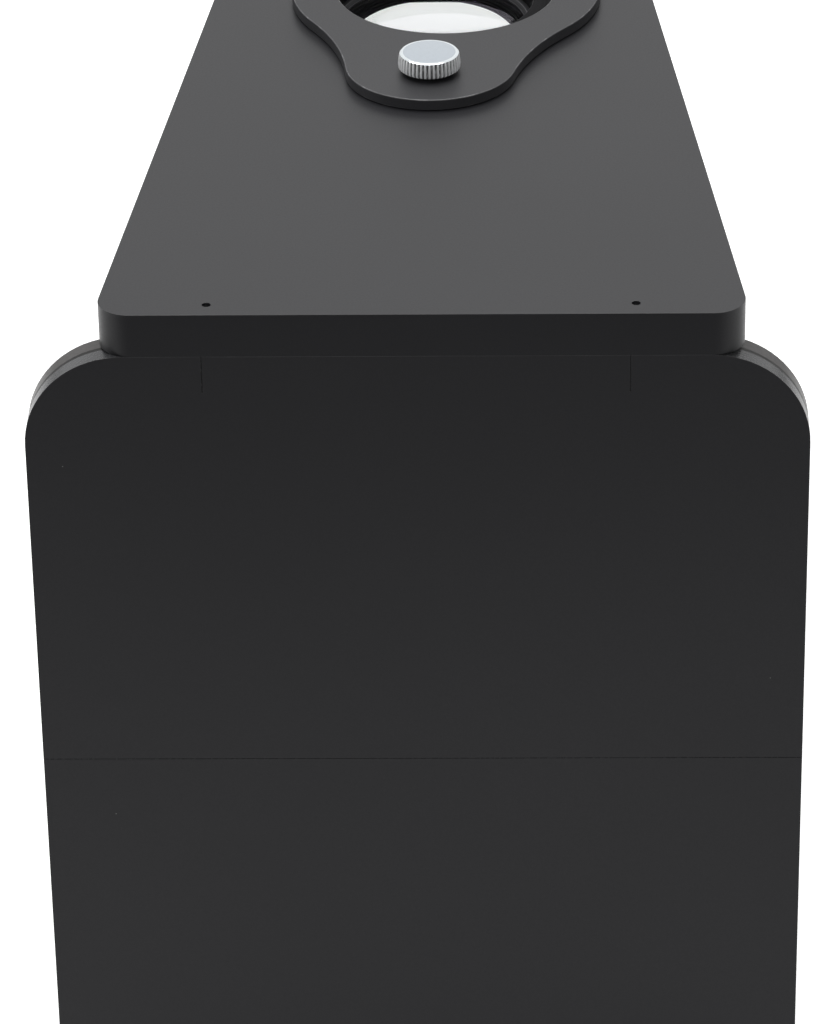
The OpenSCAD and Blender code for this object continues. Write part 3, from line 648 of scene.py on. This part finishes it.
def eye_lens(end):
    """Two polished spherical faces on a ground cylinder."""
    low, high = box_corners(end + "_lens")
    at, half = (low + high) / 2, (high - low) / 2
    rim_r = half.x
    clear_r = rim_r - LENS_BEVEL
    sag = LENS_FACE_R - math.sqrt(LENS_FACE_R ** 2 - rim_r ** 2)

    def rise(r):
        return half.z - LENS_FACE_R + math.sqrt(LENS_FACE_R ** 2 - r ** 2)

    radii = [clear_r * i / LENS_RINGS for i in range(LENS_RINGS + 1)]
    side_z = half.z - sag - LENS_BEVEL
    upper, lower = [(r, rise(r)) for r in radii], [(r, -rise(r)) for r in reversed(radii)]
    bm = turned(upper + [(rim_r, side_z), (rim_r, -side_z)] + lower, LENS_STEPS)
    for face in bm.faces:
        outside = face.calc_center_median().xy.length > clear_r * 0.999
        face.material_index = 1 if outside else 0
    bmesh.ops.translate(bm, verts=bm.verts, vec=at)
    finished(bm, end + "_lens_turned", "frame", [LENS_GLASS, GROUND_RIM],
             [end + "_lens"])


def large_mirror(end):
    """Silvered on its lower face, with ground edges."""
    node = end + "_large_mirror"
    bm = merged(node)
    ease_edges(bm, MIRROR_EASE, 1)
    for face in bm.faces:
        silvered_face = face.normal.z < -0.6 and face.calc_area() > MIRROR_FACE_AREA
        face.material_index = 0 if silvered_face else 1
    finished(bm, node + "_silvered", "frame", [MIRROR_FACE, GROUND_EDGE], [node])


def prism(end):
    """Polished faces and upper inner edge, with ground flats along the other edges and ground
    ends."""
    node = end + "_prism"
    low, high = box_corners(node)
    inwards = -(low + high).y
    bm = merged(node)
    for face in bm.faces:
        upper_inner = face.normal.z > 0.2 and face.normal.y * inwards > 0
        flat = face.calc_area() < PRISM_FLAT_AREA and not upper_inner
        face.material_index = 1 if abs(face.normal.x) > 0.9 or flat else 0
    finished(bm, node + "_polished", "frame", [PRISM_GLASS, GROUND_EDGE], [node])


# Thumb screws

RIDGES = 44
# How deep each corner of a ridge and its groove lies, as a share of the groove's depth
RIDGE_CORNERS = (0, 0, 0.05, 1, 1, 0.95)
# In mm: height, radius and depth of the grooves, from the head's underside up
HEAD_RINGS = (
    (0.0, 5.45, 0.10), (0.3, 5.84, 0.30), (0.9, 5.90, 0.40), (1.7, 5.84, 0.40), (2.4, 5.75, 0.38),
    (2.8, 5.66, 0.22), (3.05, 5.56, 0.0), (3.15, 5.40, 0.0), (3.2, 4.95, 0.0),
)
HEAD_H = HEAD_RINGS[-1][0] * MM
FACE_R = HEAD_RINGS[-1][1] * MM
NECK_R, NECK_LOW_Z, NECK_IN_HEAD = 2.5 * MM, 200.1 * MM, 0.1 * MM
THREAD_R, TIP_R, TIP_BEVEL = 2 * MM, 1.6 * MM, 0.4 * MM
SHANK_STEPS = 48


def knurled_head():
    """Flat-topped ridges with grooves between, which run out into a ring round the face, painted
    bright as a highlight.
    """
    bm = bmesh.new()
    around = len(RIDGE_CORNERS)
    bmesh.ops.create_circle(bm, cap_ends=True, segments=around * RIDGES, radius=MM)
    groove = bm.verts.layers.float.new("groove")
    bm.verts.ensure_lookup_table()
    for i, corner in enumerate(bm.verts):
        corner[groove] = RIDGE_CORNERS[i % around]
    ring = bm.verts[:]
    top = underside = bm.faces[:]
    for z, radius, depth in HEAD_RINGS:
        if z:
            ring, top = extruded(bm, top, keep=top is underside)
        for corner in ring:
            flat = corner.co.xy.normalized() * (radius - corner[groove] * depth) * MM
            corner.co = (flat.x, flat.y, z * MM)
            if not depth:
                corner[groove] = 0
    bmesh.ops.recalc_face_normals(bm, faces=bm.faces)
    for face in bm.faces:
        furthest = max(corner.co.xy.length for corner in face.verts)
        if furthest < FACE_R * 1.001:
            face.material_index = 0
        else:
            # Upward-sloping faces beyond the face form the ring painted bright as a highlight
            face.material_index = 2 if face.normal.z > 0.45 else 1
    return bm


def thumb_screw(end):
    """Knurled head on its smooth neck and thread."""
    node = end + "_thumb_screw"
    low, high = box_corners(node)
    at = (low + high) / 2
    head_z = high.z - HEAD_H
    bm = knurled_head()
    bmesh.ops.translate(bm, verts=bm.verts, vec=(0, 0, head_z))
    neck_top = head_z + NECK_IN_HEAD
    joined(bm, turned([(0, neck_top), (NECK_R, neck_top), (NECK_R, NECK_LOW_Z),
                       (THREAD_R, NECK_LOW_Z), (THREAD_R, low.z + TIP_BEVEL), (TIP_R, low.z),
                       (0, low.z)], SHANK_STEPS))
    bmesh.ops.translate(bm, verts=bm.verts, vec=(at.x, at.y, 0))
    finished(bm, node + "_knurled", node, [CHROME, KNURL, CHROME_RING_PAINTED_BRIGHT], [node])


# Small screws, in mm: radius and height of the outline, then the cross in the head, which is
# sunk into faces above top

PAN_HEADED = dict(
    outline=((0, 1.3), (0.9, 1.28), (1.3, 1.15), (1.7, 0.8), (1.93, 0.35), (2.0, 0.12),
             (1.95, 0), (1, 0), (1, -4.8), (0.6, -5), (0, -5)),
    top=1.0, reach=1.05, width=0.42, depth=0.7)
COUNTERSUNK = dict(
    outline=((0, 0), (2.1, 0), (2.18, -0.06), (1.12, -1.1), (1.1, -5.7), (0.7, -5.96),
             (0, -5.96)),
    top=-0.03, reach=1.25, width=0.46, depth=0.75)
PAN_HEAD_H = 1.3 * MM
SCREW_STEPS = 32
RECESS_TAPER = 0.75
CROSS_TURN = 700


def cross_headed(outline, top, reach, width, depth):
    """A screw with its shank along the upright axis and a cross for the driver in its head."""
    bm = turned([(radius * MM, height * MM) for radius, height in outline], SCREW_STEPS)
    reach, half_width = reach * MM, width * MM / 2
    for axis in ((1, 0, 0), (0, 1, 0)):
        for offset in (-reach, -half_width, half_width, reach):
            sliced(bm, [offset * part for part in axis], axis)
    bmesh.ops.remove_doubles(bm, verts=bm.verts, dist=HAIR)
    arms = []
    for face in bm.faces:
        at = face.calc_center_median()
        short, long = sorted((abs(at.x), abs(at.y)))
        if at.z > top * MM and short < half_width and long < reach:
            arms.append(face)
    sunk, _ = extruded(bm, arms)
    bmesh.ops.translate(bm, verts=sunk, vec=(0, 0, -depth * MM))
    bmesh.ops.scale(bm, verts=sunk, vec=(RECESS_TAPER, RECESS_TAPER, 1))
    bmesh.ops.recalc_face_normals(bm, faces=bm.faces)
    return bm


def solids_of(node):
    """The corner points of each separate solid in a node."""
    bm = merged(node)
    left = set(bm.verts)
    found = []
    while left:
        wave = [left.pop()]
        solid = []
        while wave:
            corner = wave.pop()
            solid.append(corner.co.copy())
            for edge in corner.link_edges:
                other = edge.other_vert(corner)
                if other in left:
                    left.remove(other)
                    wave.append(other)
        found.append(solid)
    bm.free()
    return found


def screws(node, body, shape, seat_depth):
    """Puts a detailed screw where each plain one of a node stands, head outwards. The cross is
    turned by CROSS_TURN radians for each metre of the place's x + y + z."""
    template = cross_headed(**shape)
    bm = bmesh.new()
    for solid in solids_of(node):
        low = Vector([min(point[i] for point in solid) for i in range(3)])
        high = Vector([max(point[i] for point in solid) for i in range(3)])
        axis = max(range(3), key=lambda i: (high - low)[i])
        at = (low + high) / 2
        wide = {}
        for tip in (low[axis], high[axis]):
            near = [point for point in solid
                    if abs(point[axis] - tip) < (high - low)[axis] * 0.3]
            wide[tip] = max((point - at).length_squared - (point[axis] - at[axis]) ** 2
                            for point in near)
        head_at = max(wide, key=wide.get)
        out = Vector([0, 0, 0])
        out[axis] = 1 if head_at > at[axis] else -1
        at[axis] = head_at - out[axis] * seat_depth
        turn = Matrix.Rotation(CROSS_TURN * sum(at), 4, "Z")
        upright = out.to_track_quat("Z", "Y").to_matrix().to_4x4()
        joined(bm, template, Matrix.Translation(at) @ upright @ turn)
    template.free()
    finished(bm, node + "_driven", body, [ZINC], [node])


# All pieces

BOARD_EASE = CHEEK_EASE = FOOT_EASE = 0.3 * MM
BACKING_EASE = BRACKET_EASE = 0.2 * MM
PRISM_SIDE_EASE = 0.15 * MM
CELL_EASE = HINGE_EASE = 0.12 * MM

eased_copy("top_board", "frame", BOARD, BOARD_EASE, segments=3)
for end in ENDS:
    leg = end + "_leg"
    laminated_sheet(end + "_panel_outer_sheet", "frame", OUTER_EDGE, 1)
    laminated_sheet(end + "_panel_inner_sheet", "frame", INNER_EDGE, -1)
    laminated_sheet(end + "_leg_outer_sheet", leg, OUTER_EDGE, 1)
    laminated_sheet(end + "_leg_inner_sheet", leg, INNER_EDGE, -1)
    for cheek in ("left_cheek", "right_cheek"):
        eased_copy(end + "_" + cheek, "frame", SHEET, CHEEK_EASE)
    eased_copy(end + "_foot_strip", leg, RUBBER, FOOT_EASE)
    lens_plate(end)
    eased_copy(end + "_lens_cell", "frame", TURNED, CELL_EASE)
    eased_copy(end + "_retaining_ring", "frame", RING, CELL_EASE)
    for plate in ("left_prism_plate", "right_prism_plate"):
        eased_copy(end + "_" + plate, "frame", PRISM_SIDE, PRISM_SIDE_EASE)
    eased_copy(end + "_upper_hinge_leaves", "frame", STEEL, HINGE_EASE)
    eased_copy(end + "_lower_hinge_leaves", leg, STEEL, HINGE_EASE)
    eased_copy(end + "_mirror_backing", "frame", BACKING, BACKING_EASE)
    eye_lens(end)
    thumb_screw(end)
    large_mirror(end)
    prism(end)
    dress(end + "_screw_washer", FIBRE)
    dress(end + "_threaded_insert", BRASS)
    dress(end + "_hinge_pins", STEEL)
    dress(end + "_dowel_pins", STEEL)
    screws(end + "_leg_hinge_screws", leg, COUNTERSUNK, seat_depth=0)
eased_copy("cheek_brackets", "frame", ANGLE, BRACKET_EASE)
screws("upper_hinge_screws", "frame", COUNTERSUNK, seat_depth=0)
screws("prism_plate_screws", "frame", PAN_HEADED, seat_depth=PAN_HEAD_H)
screws("cheek_bracket_screws", "frame", PAN_HEADED, seat_depth=PAN_HEAD_H)


# Floor

TABLE_LOW, TABLE_HIGH = Vector((-1.4, -0.47, -0.0002)), Vector((1.4, 1.8, -0.0002))
FLOOR_COLOUR = 0.86
NEAR_WHITENING, FAR_WHITENING = 0.62, 1.0
WHITENING_REACH = (0.3, 0.8)
GLOSS_WHITENING, GLASS_WHITENING = 0.40, 0.70

floor_bm = bmesh.new()
bmesh.ops.create_grid(floor_bm, x_segments=1, y_segments=1, size=0.5)
bmesh.ops.scale(floor_bm, verts=floor_bm.verts, vec=TABLE_HIGH - TABLE_LOW)
bmesh.ops.translate(floor_bm, verts=floor_bm.verts, vec=(TABLE_LOW + TABLE_HIGH) / 2)
floor_mesh = bpy.data.meshes.new("floor")
floor_bm.to_mesh(floor_mesh)
floor_bm.free()
floor = bpy.data.objects.new("floor", floor_mesh)
bpy.context.scene.collection.objects.link(floor)


def pale_floor():
    """A pale table top. The camera sees it whiter further from its middle, and gloss and glass
    show it whitened too, each by a share of its own."""
    material, tree, shader, place = start("pale floor")
    path = add(tree, "LightPath").outputs
    from_middle = add(tree, "VectorMath", operation="LENGTH")
    tree.links.new(place, from_middle.inputs[0])
    straight = spread(tree, from_middle.outputs["Value"], WHITENING_REACH,
                      (NEAR_WHITENING, FAR_WHITENING))
    whitening = times(tree, path["Is Camera Ray"], straight)
    shares = (("Is Glossy Ray", GLOSS_WHITENING), ("Is Transmission Ray", GLASS_WHITENING))
    for ray, strength in shares:
        whitening = maths(tree, "MAXIMUM", whitening, times(tree, path[ray], strength))
    put(shader, Base_Color=(FLOOR_COLOUR, FLOOR_COLOUR, FLOOR_COLOUR, 1),
        Emission_Color=(1, 1, 1, 1), Roughness=0.9, Specular_IOR_Level=0.1)
    feed(tree, shader, Emission_Strength=whitening)
    return material


floor_mesh.materials.append(pale_floor())


# World and lamps

WORLD_FILL = 0.14
SURROUND_BELOW = 0.05
HORIZON = (-0.04, 0.04)
# Name, place, point aimed at, size and power
SOFTBOXES = (
    ("overhead softbox", (-0.1, 0.2, 1.2), (0, 0, 0.12), (0.9, 0.7), 13.5),
    ("front softbox", (0.15, -1.2, 1.0), (0, -0.1, 0.15), (0.6, 0.6), 3.4),
    ("left softbox", (-1.0, -0.15, 0.5), (0, -0.1, 0.12), (0.5, 0.5), 1.9),
    ("right softbox", (1.0, -0.15, 0.5), (0, -0.1, 0.12), (0.5, 0.5), 0.25),
)


def studio_world():
    """White for the camera. Gloss and glass show it white above the horizon and dark below, and
    it lights the object a little, mostly from above."""
    world = bpy.data.worlds.new("studio")
    world.use_nodes = True
    tree = world.node_tree
    path = add(tree, "LightPath").outputs
    around = add(tree, "TexCoord").outputs["Generated"]
    heading = feed(tree, add(tree, "SeparateXYZ"), Vector=around).outputs
    above = spread(tree, heading["Z"], HORIZON, (SURROUND_BELOW, 1))
    mirrored = maths(tree, "ADD", path["Is Glossy Ray"], path["Is Transmission Ray"], clamp=True)
    shown = maths(tree, "MAXIMUM", path["Is Camera Ray"], times(tree, mirrored, above))
    strength = maths(tree, "MAXIMUM", shown, times(tree, above, WORLD_FILL))
    backdrop = put(tree.nodes["Background"], Color=(1, 1, 1, 1))
    feed(tree, backdrop, Strength=strength)
    return world


def softbox(name, at, towards, size, power):
    data = bpy.data.lights.new(name, "AREA")
    data.shape = "RECTANGLE"
    data.size, data.size_y = size
    data.energy = power
    lamp = bpy.data.objects.new(name, data)
    bpy.context.scene.collection.objects.link(lamp)
    lamp.location = at
    lamp.rotation_euler = (Vector(towards) - Vector(at)).to_track_quat("-Z", "Y").to_euler()


bpy.context.scene.world = studio_world()
for row in SOFTBOXES:
    softbox(*row)
